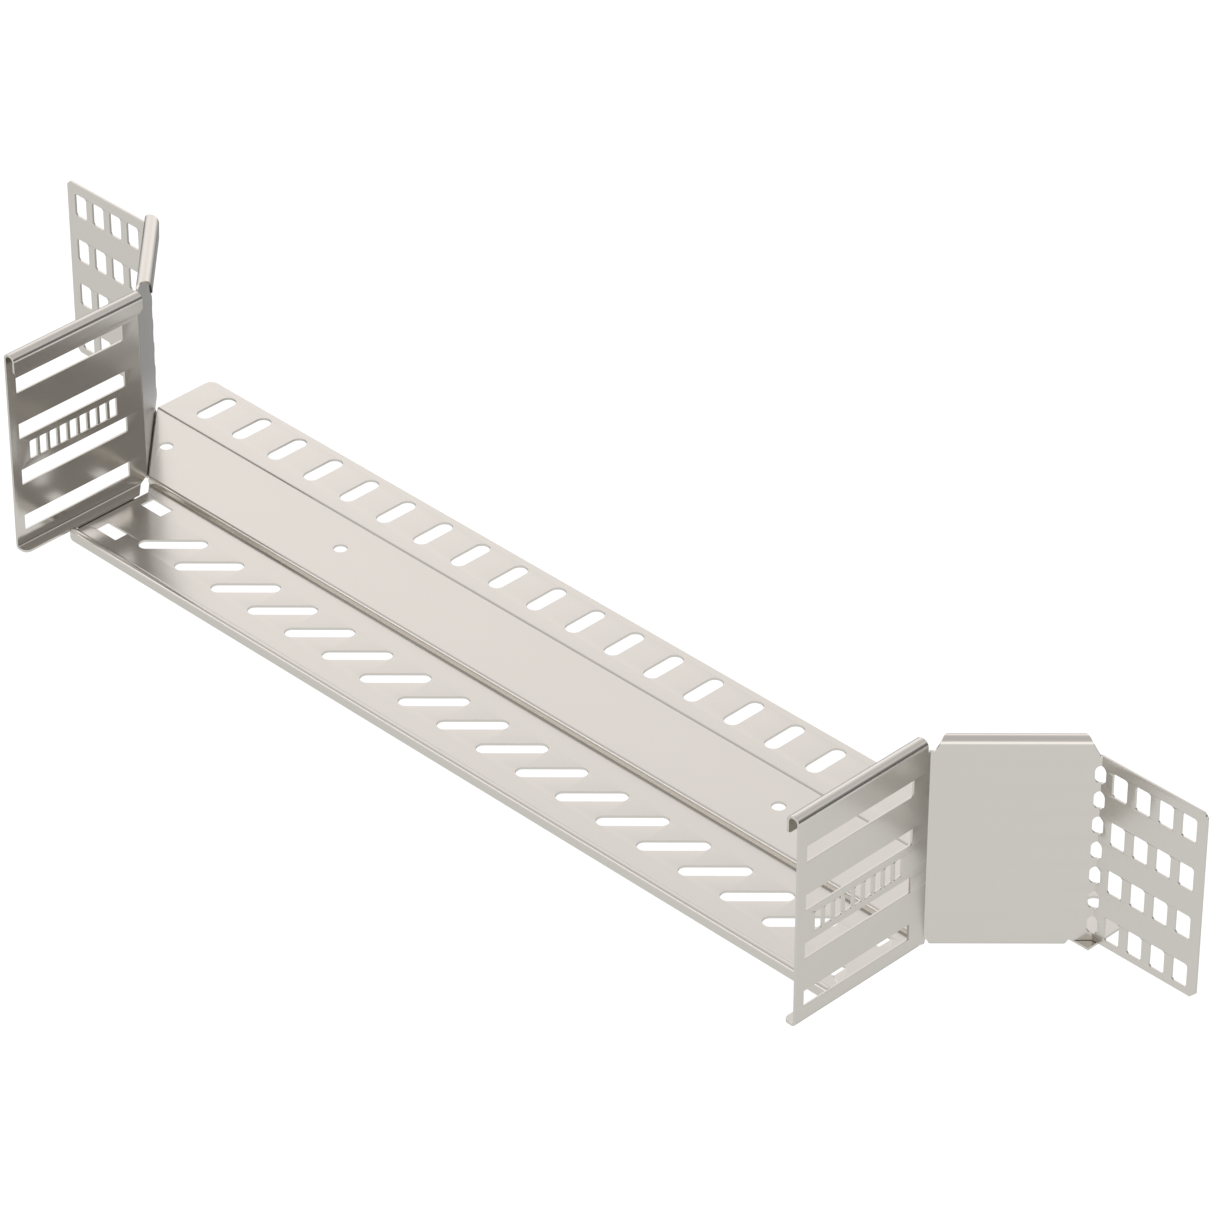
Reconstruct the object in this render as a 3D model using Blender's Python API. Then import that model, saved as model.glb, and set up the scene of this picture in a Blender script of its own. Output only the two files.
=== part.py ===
"""Cable tray branch: a bolt-on tee for a perforated stainless cable tray.

Three folded sheets make it: a floor plate and two side rails, each the mirror of the other.
Each sheet is made the way a press brake makes it. A flat blank is cut with its outline and its
holes, scored along every bend line, and then folded along its bend path. Lengths are in metres.
X runs along the main tray, Y runs from the branch tray towards the main tray and Z is up.
Places on the sheets are measured from the branch's middle (x), from the front end of the side
rails (y) and from the underside of the rails' feet (z). The object's origin lies on the middle of
its underside.
"""

import math

import bmesh
import bpy
from mathutils import Vector

# Sheet and clearance
RAIL_SHEET = 0.0012
FLOOR_SHEET = 0.0012
SEAT_GAP = 0.0003

# Branch as a whole
BRANCH_WIDTH = 0.4964
RAIL_HEIGHT = 0.1068

# Side rail in plan, measured on its outer face
WALL_LENGTH = 0.0785
SPLAY_REACH = 0.0498
SPLAY_ANGLE = math.radians(45.0)
WING_LENGTH = 0.0568
FOLD_INSIDE_RADIUS = 0.0008

# Foot at the bottom of the rail
FOOT_WIDTH = 0.0070
FOOT_BEND_RADIUS = 0.0020
FOOT_CORNER_RADIUS = 0.0032
FOOT_MITRE = 0.0064
WALL_FOOT_END = 0.0030
FOLD_NOTCH_RISE = 0.0006
PANEL_FOOT_WIDTH = 0.0050
PANEL_FOOT_START = 0.0020
PANEL_FOOT_END = 0.0110

# Rolled rim at the top of the rail
RIM_WIDTH = 0.0070
RIM_LIP_HEIGHT = 0.0096
RIM_TOP_RADIUS = 0.0032
RIM_CORNER_CUT = 0.0024
RIM_FRONT_RADIUS = 0.0015
WALL_RIM_END = 0.0015
RIM_NOTCH_START = 0.0018
RIM_NOTCH_FLOOR = 0.1010
RIM_SLANT = 0.52

# Wing that bolts to the main tray
WING_TOP = 0.0987
WING_CHAMFER_TOP = 0.0022
WING_CHAMFER_BOTTOM = 0.0030
WING_HOLE_WIDTH = 0.0081
WING_HOLE_HEIGHT = 0.0121
WING_HOLE_RADIUS = 0.0014
WING_HOLE_FIRST = 0.01025
WING_HOLE_PITCH = 0.01245

# Rows of holes in the rail, by height
ROW_FIRST = 0.0123
ROW_PITCH = 0.0249
ROW_EDGE = 0.0040

# Holes that let the second fold be bent by hand
FOLD_HOLE_WIDTH = 0.0056
FOLD_HOLE_HEIGHT = 0.0090
FOLD_HOLE_FIRST = 0.0112
FOLD_HOLE_PITCH = 0.0130

# Slots of the wall
WALL_SLOT_START = 0.0051
WALL_SLOT_MARGIN = 0.0097
WALL_SLOT_HEIGHT = 0.0082
SHORT_SLOT_WIDTH = 0.0044
SHORT_SLOT_HEIGHT = 0.0097
SHORT_SLOT_RADIUS = 0.0006
SHORT_SLOT_PITCH = 0.0060
SHORT_SLOT_MARGIN = 0.0050

# Floor plate, from the front to the back
LIP_FRONT = 0.0260
LIP_DROP = 0.0039
LIP_BEND_RADIUS = 0.0014
LIP_CORNER_RADIUS = 0.0020
BEAD_FLAT = 0.0009
BEAD_SLOPE = math.radians(60.0)
JOG_RADIUS = 0.0008
RISER_SETBACK = 0.0015
RISER_SLOPE = math.radians(85.0)
LINE_SETBACK = 0.0061
LINE_SLOPE = math.radians(30.0)
LINE_FLAT = 0.0002
STRIP_WIDTH = 0.0346

# Floor plate outline
UNDER_FOOT_INSET = 0.0032
UNDER_FOOT_SETBACK = 0.0125
SPLAY_CLEARANCE = 0.0008
STRIP_OVERHANG = 0.0115
STRIP_CORNER_RADIUS = 0.0040

# Holes of the floor plate
TRAY_PITCH = 0.0250
STRIP_SLOT_MARGIN = 0.0203
STRIP_SLOT_FRONT_EDGE = 0.0086
STRIP_SLOT_BACK_EDGE = 0.0037
STRIP_SLOT_WIDTH = 0.0079
SLANT_SLOT_SETBACK = 0.0249
SLANT_SLOT_LENGTH = 0.0321
SLANT_SLOT_WIDTH = 0.0072
SLANT_SLOT_ANGLE = math.radians(45.0)
SLANT_SLOT_EDGE = 0.0400
TAB_HOLE_SETBACKS = (0.0377, 0.0099)
TAB_HOLE_INSET = 0.0198
TAB_HOLE_WIDTH = 0.0140
TAB_HOLE_DEPTH = 0.0078
TAB_HOLE_RADIUS = 0.0005
ROUND_HOLE_SETBACK = 0.0247
ROUND_HOLE_EDGE = 0.0091
ROUND_HOLE_SPACING = 0.1211
ROUND_HOLE_DIAMETER = 0.0065

# Facets of the bends and of round outlines
FOLD_FACETS = 3
FOOT_FACETS = 3
RIM_FACETS = 4
JOG_FACETS = 2
ARC_STEP = math.radians(30.0)
WELD_DISTANCE = 0.000001

# Look of the steel
STEEL_COLOUR = (0.72, 0.70, 0.66, 1.0)
STEEL_ROUGHNESS = 0.32

# Levels and places that follow from the sizes above
FLOOR_LOW_TOP = -SEAT_GAP
BEAD_TOP = RAIL_SHEET
FLOOR_HIGH_TOP = RAIL_SHEET + SEAT_GAP + FLOOR_SHEET
RAISED_EDGE = FLOOR_HIGH_TOP + SEAT_GAP
UNDERSIDE = FLOOR_LOW_TOP - LIP_DROP
PANEL_LENGTH = SPLAY_REACH / math.sin(SPLAY_ANGLE)
WALL_SLOT_LENGTH = WALL_LENGTH - WALL_SLOT_START - WALL_SLOT_MARGIN
RISER_PLACE = WALL_LENGTH + RISER_SETBACK
LINE_PLACE = WALL_LENGTH + SPLAY_REACH - LINE_SETBACK
OVERALL_DEPTH = LINE_PLACE + STRIP_WIDTH
STRIP_SLOT_LENGTH = STRIP_WIDTH - STRIP_SLOT_FRONT_EDGE - STRIP_SLOT_BACK_EDGE


class FoldPath:
    """The bend path of a sheet: flat lengths and round bends, walked along the sheet's middle."""

    def __init__(self, start, heading, normal_turn):
        self.point = Vector(start)
        self.heading = heading
        self.normal_turn = normal_turn
        self.distance = 0.0
        self.stations = []
        self.note_station()

    def note_station(self):
        facing = self.heading + self.normal_turn
        normal = Vector((math.cos(facing), math.sin(facing)))
        self.stations.append((self.distance, self.point.copy(), normal))

    def flat(self, length):
        self.point += Vector((math.cos(self.heading), math.sin(self.heading))) * length
        self.distance += length
        self.note_station()
        return self.distance

    def bend(self, radius, angle, facets):
        side = math.copysign(math.pi / 2, angle)
        facing = self.heading + side
        centre = self.point + Vector((math.cos(facing), math.sin(facing))) * radius
        for _ in range(facets):
            self.heading += angle / facets
            facing = self.heading + side
            self.point = centre - Vector((math.cos(facing), math.sin(facing))) * radius
            self.distance += radius * abs(angle) / facets
            self.note_station()
        return self.distance

    def at(self, distance):
        """The middle point and the normal at a distance, straight between two stations."""
        for before, after in zip(self.stations, self.stations[1:]):
            if distance <= after[0]:
                break
        share = (distance - before[0]) / (after[0] - before[0])
        return before[1].lerp(after[1], share), before[2].lerp(after[2], share)

    def reach(self, place, axis):
        """The distance walked when the path first comes to a place on one axis."""
        for before, after in zip(self.stations, self.stations[1:]):
            low, high = before[1][axis], after[1][axis]
            if low < high and low <= place <= high:
                return before[0] + (after[0] - before[0]) * (place - low) / (high - low)
        raise ValueError("the path does not come to this place")

    def bend_lines(self):
        return [station[0] for station in self.stations[1:-1]]


def arc_points(centre, radius, start, end):
    """Points along an arc, both ends included."""
    steps = max(1, math.ceil(abs(end - start) / ARC_STEP - 0.001))
    angles = [start + (end - start) * step / steps for step in range(steps + 1)]
    return [centre + Vector((math.cos(a), math.sin(a))) * radius for a in angles]


def rounded_outline(corners):
    """A closed outline from (x, y, radius) corners: radius 0 keeps the corner sharp."""
    points = []
    count = len(corners)
    for index, (x, y, radius) in enumerate(corners):
        corner = Vector((x, y))
        if radius <= 0:
            points.append(corner)
            continue
        back = (Vector(corners[index - 1][:2]) - corner).normalized()
        ahead = (Vector(corners[(index + 1) % count][:2]) - corner).normalized()
        half = back.angle(ahead) / 2
        centre = corner + (back + ahead).normalized() * radius / math.sin(half)
        first = corner + back * radius / math.tan(half) - centre
        turn = math.pi - 2 * half
        if back.cross(ahead) > 0:
            turn = -turn
        start = math.atan2(first.y, first.x)
        points += arc_points(centre, radius, start, start + turn)
    return points


def box_hole(centre, width, height, radius):
    """A rectangular hole with rounded corners."""
    x, y = centre
    half_w, half_h = width / 2, height / 2
    return rounded_outline([
        (x - half_w, y - half_h, radius),
        (x + half_w, y - half_h, radius),
        (x + half_w, y + half_h, radius),
        (x - half_w, y + half_h, radius),
    ])


def slot_hole(centre, length, width, angle):
    """A slot with round ends, its long axis turned by an angle from X."""
    along = Vector((math.cos(angle), math.sin(angle))) * (length - width) / 2
    middle = Vector(centre)
    ahead = arc_points(middle + along, width / 2, angle - math.pi / 2, angle + math.pi / 2)
    behind = arc_points(middle - along, width / 2, angle + math.pi / 2, angle + 3 * math.pi / 2)
    return ahead + behind


def round_hole(centre, diameter):
    return arc_points(Vector(centre), diameter / 2, 0, 2 * math.pi)[:-1]


def row_places(first, last, pitch):
    """Places one pitch apart, from the first one on, as many as come before the last."""
    count = int((last - first) / pitch + 0.001) + 1
    return [first + pitch * index for index in range(count)]


def centred_places(centre, half_span, pitch):
    """An odd number of places one pitch apart, centred, as many as fit the half span."""
    side = int(half_span / pitch + 0.001)
    return [centre + pitch * index for index in range(-side, side + 1)]


def cut_blank(name, outline, holes, thickness, parts):
    """A flat blank: the outline and its holes as a filled 2D curve with the sheet's thickness."""
    curve = bpy.data.curves.new(name + "_blank", "CURVE")
    curve.dimensions = "2D"
    curve.fill_mode = "BOTH"
    curve.extrude = thickness / 2
    for points in [outline] + holes:
        spline = curve.splines.new("POLY")
        spline.points.add(len(points) - 1)
        for control, point in zip(spline.points, points):
            control.co = (point[0], point[1], 0, 1)
        spline.use_cyclic_u = True
    blank = bpy.data.objects.new(name + "_blank", curve)
    parts.objects.link(blank)
    bpy.context.view_layer.update()
    evaluated = blank.evaluated_get(bpy.context.evaluated_depsgraph_get())
    mesh = bpy.data.meshes.new_from_object(evaluated)
    mesh.name = name
    bpy.data.objects.remove(blank)
    bpy.data.curves.remove(curve)
    return mesh


def score(work, lines, axis):
    """Cuts every face of the blank along its bend lines."""
    normal = Vector((0, 0, 0))
    normal[axis] = 1
    for line in lines:
        geometry = work.verts[:] + work.edges[:] + work.faces[:]
        bmesh.ops.bisect_plane(
            work, geom=geometry, dist=WELD_DISTANCE / 10, plane_co=normal * line, plane_no=normal
        )


def fold_sheet(mesh, u_lines, v_lines, place):
    """Folds the blank: every point goes from the flat to its place on the bend paths."""
    work = bmesh.new()
    work.from_mesh(mesh)
    bmesh.ops.remove_doubles(work, verts=work.verts, dist=WELD_DISTANCE)
    score(work, u_lines, 0)
    score(work, v_lines, 1)
    for vert in work.verts:
        vert.co = place(vert.co.x, vert.co.y, vert.co.z)
    bmesh.ops.triangulate(work, faces=work.faces[:])
    bmesh.ops.recalc_face_normals(work, faces=work.faces)
    work.to_mesh(mesh)
    work.free()


def steel(name, roughness):
    material = bpy.data.materials.new(name)
    material.use_nodes = True
    shader = material.node_tree.nodes["Principled BSDF"]
    shader.inputs["Base Color"].default_value = STEEL_COLOUR
    shader.inputs["Metallic"].default_value = 1.0
    shader.inputs["Roughness"].default_value = roughness
    return material


def finish(name, mesh, material, parts, frame):
    mesh.materials.clear()
    mesh.materials.append(material)
    mesh.shade_smooth()
    mesh.set_sharp_from_angle(angle=math.radians(30))
    sheet = bpy.data.objects.new(name, mesh)
    parts.objects.link(sheet)
    sheet.parent = frame
    return sheet


def rail_plan():
    """The rail's bend path in plan: wall, 45 degree panel and wing, with two outward folds."""
    middle = FOLD_INSIDE_RADIUS + RAIL_SHEET / 2
    tangent = FOLD_INSIDE_RADIUS * math.tan(SPLAY_ANGLE / 2)
    turn_back = math.pi / 2 - SPLAY_ANGLE
    tangent_back = FOLD_INSIDE_RADIUS * math.tan(turn_back / 2)
    plan = FoldPath((BRANCH_WIDTH / 2 - RAIL_SHEET / 2, 0), math.pi / 2, math.pi / 2)
    marks = {"wall": plan.flat(WALL_LENGTH - tangent)}
    marks["panel"] = plan.bend(middle, -SPLAY_ANGLE, FOLD_FACETS) - tangent
    plan.flat(PANEL_LENGTH - tangent - tangent_back)
    marks["fold"] = plan.distance + middle * turn_back / 2
    marks["wing"] = plan.bend(middle, -turn_back, FOLD_FACETS) - tangent_back
    plan.flat(WING_LENGTH - tangent_back)
    return plan, marks


def rail_section():
    """The rail's bend path across it: foot, wall, rolled rim and the rim's hanging lip."""
    middle = RAIL_SHEET / 2
    section = FoldPath((FOOT_WIDTH, middle), math.pi, -math.pi / 2)
    section.flat(FOOT_WIDTH - FOOT_BEND_RADIUS)
    foot_bend = section.bend(FOOT_BEND_RADIUS - middle, -math.pi / 2, FOOT_FACETS)
    section.flat(RAIL_HEIGHT - FOOT_BEND_RADIUS - RIM_TOP_RADIUS)
    section.bend(RIM_TOP_RADIUS - middle, -math.pi / 2, RIM_FACETS)
    section.flat(RIM_WIDTH - 2 * RIM_TOP_RADIUS)
    section.bend(RIM_TOP_RADIUS - middle, -math.pi / 2, RIM_FACETS)
    section.flat(RIM_LIP_HEIGHT - RIM_TOP_RADIUS)
    return section, foot_bend


def rail_outline(plan, marks, section, foot_bend):
    """The outline of the rail's blank, with the notches that part foot and rim at the folds."""
    panel, wing = marks["panel"], marks["wing"]

    def height(z):
        return foot_bend + z - FOOT_BEND_RADIUS

    end = section.distance
    raised = height(RAISED_EDGE)
    notch = height(RIM_NOTCH_FLOOR)
    wall_end = WALL_LENGTH - WALL_FOOT_END
    foot_first = panel + PANEL_FOOT_START
    foot_last = panel + PANEL_LENGTH - PANEL_FOOT_END
    panel_inset = FOOT_WIDTH - PANEL_FOOT_WIDTH
    panel_mitre = FOOT_MITRE - panel_inset
    rim_first = panel + RIM_NOTCH_START
    rim_last = marks["fold"] - RIM_NOTCH_START / 2
    near_cut = RIM_SLANT * (end - notch)
    far_cut = RIM_SLANT * (end - height(WING_TOP))
    wing_end = plan.distance
    return rounded_outline([
        (0, 0, FOOT_CORNER_RADIUS),
        (wall_end - FOOT_MITRE, 0, 0),
        (wall_end, FOOT_MITRE, 0),
        (WALL_LENGTH, raised + FOLD_NOTCH_RISE, 0),
        (panel + PANEL_FOOT_START / 2, raised, 0),
        (foot_first, FOOT_MITRE, 0),
        (foot_first + panel_mitre, panel_inset, 0),
        (foot_last - panel_mitre, panel_inset, 0),
        (foot_last, FOOT_MITRE, 0),
        (foot_last + PANEL_FOOT_START / 2, raised, 0),
        (wing_end - WING_CHAMFER_BOTTOM, raised, 0),
        (wing_end, raised + WING_CHAMFER_BOTTOM, 0),
        (wing_end, height(WING_TOP) - WING_CHAMFER_TOP, 0),
        (wing_end - WING_CHAMFER_TOP, height(WING_TOP), 0),
        (rim_last, height(WING_TOP), 0),
        (rim_last - far_cut, end, 0),
        (rim_first + near_cut, end, 0),
        (rim_first, notch, 0),
        (WALL_LENGTH - WALL_RIM_END, notch, 0),
        (WALL_LENGTH - WALL_RIM_END, end - RIM_CORNER_CUT, 0),
        (WALL_LENGTH - WALL_RIM_END - RIM_CORNER_CUT, end, 0),
        (0, end, RIM_FRONT_RADIUS),
    ])


def rail_holes(marks, foot_bend):
    """Every hole of the rail's blank: wall slots, short slots, fold holes and wing holes."""
    holes = []
    top = WING_TOP - ROW_EDGE
    rows = row_places(ROW_FIRST, top - WING_HOLE_HEIGHT / 2, ROW_PITCH)
    heights = [foot_bend + row - FOOT_BEND_RADIUS for row in rows]
    middle = WALL_SLOT_START + WALL_SLOT_LENGTH / 2
    for height in heights:
        holes.append(box_hole((middle, height), WALL_SLOT_LENGTH, WALL_SLOT_HEIGHT, 0))
    short_height = heights[len(heights) // 2] - ROW_PITCH / 2
    half_span = WALL_SLOT_LENGTH / 2 - SHORT_SLOT_MARGIN - SHORT_SLOT_WIDTH / 2
    for place in centred_places(middle, half_span, SHORT_SLOT_PITCH):
        centre = (place, short_height)
        holes.append(box_hole(centre, SHORT_SLOT_WIDTH, SHORT_SLOT_HEIGHT, SHORT_SLOT_RADIUS))
    for place in row_places(FOLD_HOLE_FIRST, top - FOLD_HOLE_HEIGHT / 2, FOLD_HOLE_PITCH):
        centre = (marks["fold"], foot_bend + place - FOOT_BEND_RADIUS)
        holes.append(slot_hole(centre, FOLD_HOLE_HEIGHT, FOLD_HOLE_WIDTH, math.pi / 2))
    last = WING_LENGTH - ROW_EDGE - WING_HOLE_WIDTH / 2
    for column in row_places(WING_HOLE_FIRST, last, WING_HOLE_PITCH):
        for height in heights:
            centre = (marks["wing"] + column, height)
            holes.append(box_hole(centre, WING_HOLE_WIDTH, WING_HOLE_HEIGHT, WING_HOLE_RADIUS))
    return holes


def make_side_rail(name, side, parts, frame):
    """One side rail: side 1 is the right one, and side -1 its mirror image on the left."""
    plan, marks = rail_plan()
    section, foot_bend = rail_section()
    outline = rail_outline(plan, marks, section, foot_bend)
    mesh = cut_blank(name, outline, rail_holes(marks, foot_bend), RAIL_SHEET, parts)

    def place(u, v, w):
        foot, inward = plan.at(u)
        middle, normal = section.at(v)
        across = middle + normal * w
        spot = foot + inward * (across.x - RAIL_SHEET / 2)
        return Vector((side * spot.x, spot.y, across.y))

    fold_sheet(mesh, plan.bend_lines(), section.bend_lines(), place)
    return finish(name, mesh, steel(name + "_steel", STEEL_ROUGHNESS), parts, frame)


def jog(path, rise, slope, radius):
    """A jog in the floor plate, up or down, with the given slope between two equal bends."""
    bends = 2 * radius * (1 - math.cos(slope))
    turn = math.copysign(slope, rise)
    path.bend(radius, turn, JOG_FACETS)
    path.flat((abs(rise) - bends) / math.sin(slope))
    path.bend(radius, -turn, JOG_FACETS)


def jog_run(rise, slope, radius):
    """How far a jog reaches along the plate."""
    bends = 2 * radius * (1 - math.cos(slope))
    return 2 * radius * math.sin(slope) + (rise - bends) / math.tan(slope)


def floor_section():
    """The floor plate's bend path from the lip's lower edge to the back edge of the strip."""
    middle = FLOOR_SHEET / 2
    path = FoldPath((LIP_FRONT + middle, UNDERSIDE), math.pi / 2, math.pi / 2)
    path.flat(BEAD_TOP - UNDERSIDE - LIP_BEND_RADIUS)
    path.bend(LIP_BEND_RADIUS - middle, -math.pi / 2, FOOT_FACETS)
    path.flat(BEAD_FLAT)
    jog(path, FLOOR_LOW_TOP - BEAD_TOP, BEAD_SLOPE, JOG_RADIUS)
    bead_end = path.distance
    rise = FLOOR_HIGH_TOP - FLOOR_LOW_TOP
    path.flat(RISER_PLACE - jog_run(rise, RISER_SLOPE, JOG_RADIUS) / 2 - path.point.x)
    jog(path, rise, RISER_SLOPE, JOG_RADIUS)
    half_line = 2 * JOG_RADIUS * math.sin(LINE_SLOPE) + LINE_FLAT * math.cos(LINE_SLOPE)
    path.flat(LINE_PLACE - half_line - path.point.x)
    path.bend(JOG_RADIUS, -LINE_SLOPE, 1)
    path.flat(LINE_FLAT)
    path.bend(JOG_RADIUS, 2 * LINE_SLOPE, JOG_FACETS)
    path.flat(LINE_FLAT)
    path.bend(JOG_RADIUS, -LINE_SLOPE, 1)
    line_end = path.distance
    path.flat(OVERALL_DEPTH - path.point.x)
    return path, bead_end, line_end


def splayed_edge(y):
    """Where the floor plate ends beside the 45 degree panel, as x at a place y."""
    clear = (RAIL_SHEET + SPLAY_CLEARANCE) / math.cos(SPLAY_ANGLE)
    return BRANCH_WIDTH / 2 - clear + (y - WALL_LENGTH) * math.tan(SPLAY_ANGLE)


def floor_outline(path, bead_end, line_end):
    """The outline of the floor plate's blank: narrow at the bead, wider under the feet."""
    bead_half = BRANCH_WIDTH / 2 - FOOT_WIDTH - SEAT_GAP
    under_half = BRANCH_WIDTH / 2 - UNDER_FOOT_INSET
    relief_y = WALL_LENGTH + (bead_half - splayed_edge(WALL_LENGTH)) / math.tan(SPLAY_ANGLE)
    wide_start = bead_end + FLOOR_SHEET
    wide_end = path.reach(WALL_LENGTH - UNDER_FOOT_SETBACK, 0)
    relief_end = path.reach(relief_y, 0)
    strip_start = path.reach(LINE_PLACE, 0)
    strip_y = path.at(line_end)[0].x
    strip_left = splayed_edge(LINE_PLACE)
    strip_right = strip_left + STRIP_OVERHANG
    back = path.distance
    lines = [line for line in path.bend_lines() if relief_end < line < line_end]
    splayed = [(splayed_edge(path.at(line)[0].x), line, 0) for line in lines]
    return rounded_outline([
        (-bead_half, 0, LIP_CORNER_RADIUS),
        (bead_half, 0, LIP_CORNER_RADIUS),
        (bead_half, wide_start, 0),
        (under_half, wide_start, 0),
        (under_half, wide_end, 0),
        (bead_half, wide_end, 0),
        (bead_half, relief_end, 0),
        *splayed,
        (splayed_edge(strip_y), line_end, 0),
        (strip_right, line_end, 0),
        (strip_right, back, STRIP_CORNER_RADIUS),
        (-strip_left, back, STRIP_CORNER_RADIUS),
        *[(-x, line, radius) for x, line, radius in reversed(splayed) if line < strip_start],
        (-bead_half, relief_end, 0),
        (-bead_half, wide_end, 0),
        (-under_half, wide_end, 0),
        (-under_half, wide_start, 0),
        (-bead_half, wide_start, 0),
    ]), strip_left


def floor_holes(path, strip_left):
    """Every hole of the floor plate's blank."""
    holes = []
    strip_v = path.distance - STRIP_SLOT_BACK_EDGE - STRIP_SLOT_LENGTH / 2
    strip_right = strip_left + STRIP_OVERHANG
    first = -strip_left + STRIP_SLOT_MARGIN
    for x in row_places(first, strip_right - STRIP_SLOT_WIDTH, TRAY_PITCH):
        holes.append(slot_hole((x, strip_v), STRIP_SLOT_LENGTH, STRIP_SLOT_WIDTH, math.pi / 2))
    slant_v = path.reach(WALL_LENGTH - SLANT_SLOT_SETBACK, 0)
    for x in centred_places(0, BRANCH_WIDTH / 2 - SLANT_SLOT_EDGE, TRAY_PITCH):
        holes.append(slot_hole((x, slant_v), SLANT_SLOT_LENGTH, SLANT_SLOT_WIDTH, SLANT_SLOT_ANGLE))
    tab_x = BRANCH_WIDTH / 2 - TAB_HOLE_INSET
    round_y = WALL_LENGTH + ROUND_HOLE_SETBACK
    round_v = path.reach(round_y, 0)
    round_outer = splayed_edge(round_y) - ROUND_HOLE_EDGE
    for side in (-1, 1):
        for setback in TAB_HOLE_SETBACKS:
            centre = (side * tab_x, path.reach(WALL_LENGTH - setback, 0))
            holes.append(box_hole(centre, TAB_HOLE_WIDTH, TAB_HOLE_DEPTH, TAB_HOLE_RADIUS))
        for x in (round_outer - ROUND_HOLE_SPACING, round_outer):
            holes.append(round_hole((side * x, round_v), ROUND_HOLE_DIAMETER))
    return holes


def make_floor_plate(parts, frame):
    """The floor plate, folded from one blank."""
    path, bead_end, line_end = floor_section()
    outline, strip_left = floor_outline(path, bead_end, line_end)
    mesh = cut_blank("floor_plate", outline, floor_holes(path, strip_left), FLOOR_SHEET, parts)

    def place(u, v, w):
        middle, normal = path.at(v)
        spot = middle + normal * w
        return Vector((u, spot.x, spot.y))

    fold_sheet(mesh, [], path.bend_lines(), place)
    return finish("floor_plate", mesh, steel("floor_steel", STEEL_ROUGHNESS), parts, frame)


def main():
    for old in list(bpy.data.objects):
        bpy.data.objects.remove(old)
    parts = bpy.data.collections.new("cable_tray_branch")
    bpy.context.scene.collection.children.link(parts)
    frame = bpy.data.objects.new("branch_frame", None)
    frame.location = (0, -OVERALL_DEPTH / 2, -UNDERSIDE)
    parts.objects.link(frame)
    make_floor_plate(parts, frame)
    make_side_rail("left_side_rail", -1, parts, frame)
    make_side_rail("right_side_rail", 1, parts, frame)


main()
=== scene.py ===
"""Cable tray branch: the finished look of its three folded stainless sheets.

Every sheet is cut as a flat blank with softened edges, keeps its flat coordinates for the rolled
grain, is folded along smooth bends and then stands for the CAD node of the same sheet. The frame
gives the places; lengths are in metres. X runs along the main tray, Y from the branch tray towards
the main tray and Z is up.
"""

import logging
import math
from dataclasses import dataclass, field
from enum import Enum
from typing import Callable

import bmesh
import bpy
from bpy.types import Material, Mesh, Node, NodeSocket, NodeTree, Object
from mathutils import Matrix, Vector

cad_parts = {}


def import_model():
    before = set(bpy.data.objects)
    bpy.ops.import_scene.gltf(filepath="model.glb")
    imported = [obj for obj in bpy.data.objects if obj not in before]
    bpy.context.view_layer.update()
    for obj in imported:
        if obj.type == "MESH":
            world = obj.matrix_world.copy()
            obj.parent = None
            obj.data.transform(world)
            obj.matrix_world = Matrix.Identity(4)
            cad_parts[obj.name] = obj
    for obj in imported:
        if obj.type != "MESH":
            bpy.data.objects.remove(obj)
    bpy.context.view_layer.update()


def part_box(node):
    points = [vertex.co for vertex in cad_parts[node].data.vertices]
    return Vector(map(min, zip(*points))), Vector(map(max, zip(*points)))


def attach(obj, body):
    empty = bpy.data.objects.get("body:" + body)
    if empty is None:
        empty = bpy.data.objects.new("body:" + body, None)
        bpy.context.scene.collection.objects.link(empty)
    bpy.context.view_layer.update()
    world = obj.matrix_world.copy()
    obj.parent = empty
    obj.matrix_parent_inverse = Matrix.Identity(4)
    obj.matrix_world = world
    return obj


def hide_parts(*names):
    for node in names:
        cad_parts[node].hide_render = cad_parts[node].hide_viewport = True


logging.basicConfig(level=logging.INFO, format="%(message)s")
log = logging.getLogger("cable_tray_branch")

Triple = tuple[float, float, float]
Outline = list[Vector]
Place = Callable[[float, float, float], Vector]

BODY = "root"
FULL_TURN = 2 * math.pi
QUARTER = math.pi / 2
ARC_STEP = math.radians(9.0)
BEND_STEP = math.radians(9.0)
COUNT_SLACK = 0.001
WELD_DISTANCE = 0.000001
SCORE_DISTANCE = 0.0000001
SHARP_ANGLE = math.radians(50.0)
FLAT_FACE_ANGLE = math.radians(12.5)
LEVEL_PART = (1.0, 1.0, 0.0)
FLAT_LAYER = "blank"
STRAIN_LAYER = "strain"


class Effect(Enum):
    """The shared surface effects, each one a shader node group."""

    ROLLED_GRAIN = "rolled_grain"
    BEND_STRAIN = "bend_strain"


class Side(Enum):
    """Which of the two mirrored rails is meant, as the sign of its X."""

    LEFT = -1
    RIGHT = 1


class Surface(Enum):
    """The two kinds of surface of a cut sheet, as material indexes."""

    FACE = 0
    CUT = 1


def unit(angle: float) -> Vector:
    """The direction at an angle, as a vector of length 1."""
    return Vector((math.cos(angle), math.sin(angle)))


def arc_points(centre: Vector, radius: float, start: float, end: float) -> Outline:
    """Points along an arc.

    Args:
        centre: The arc's centre.
        radius: Its radius.
        start: The angle of its first point.
        end: The angle of its last point.

    Returns:
        The points, both ends included.
    """
    steps = max(1, math.ceil(abs(end - start) / ARC_STEP - COUNT_SLACK))
    angles = [start + (end - start) * step / steps for step in range(steps + 1)]
    return [centre + unit(angle) * radius for angle in angles]


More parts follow.
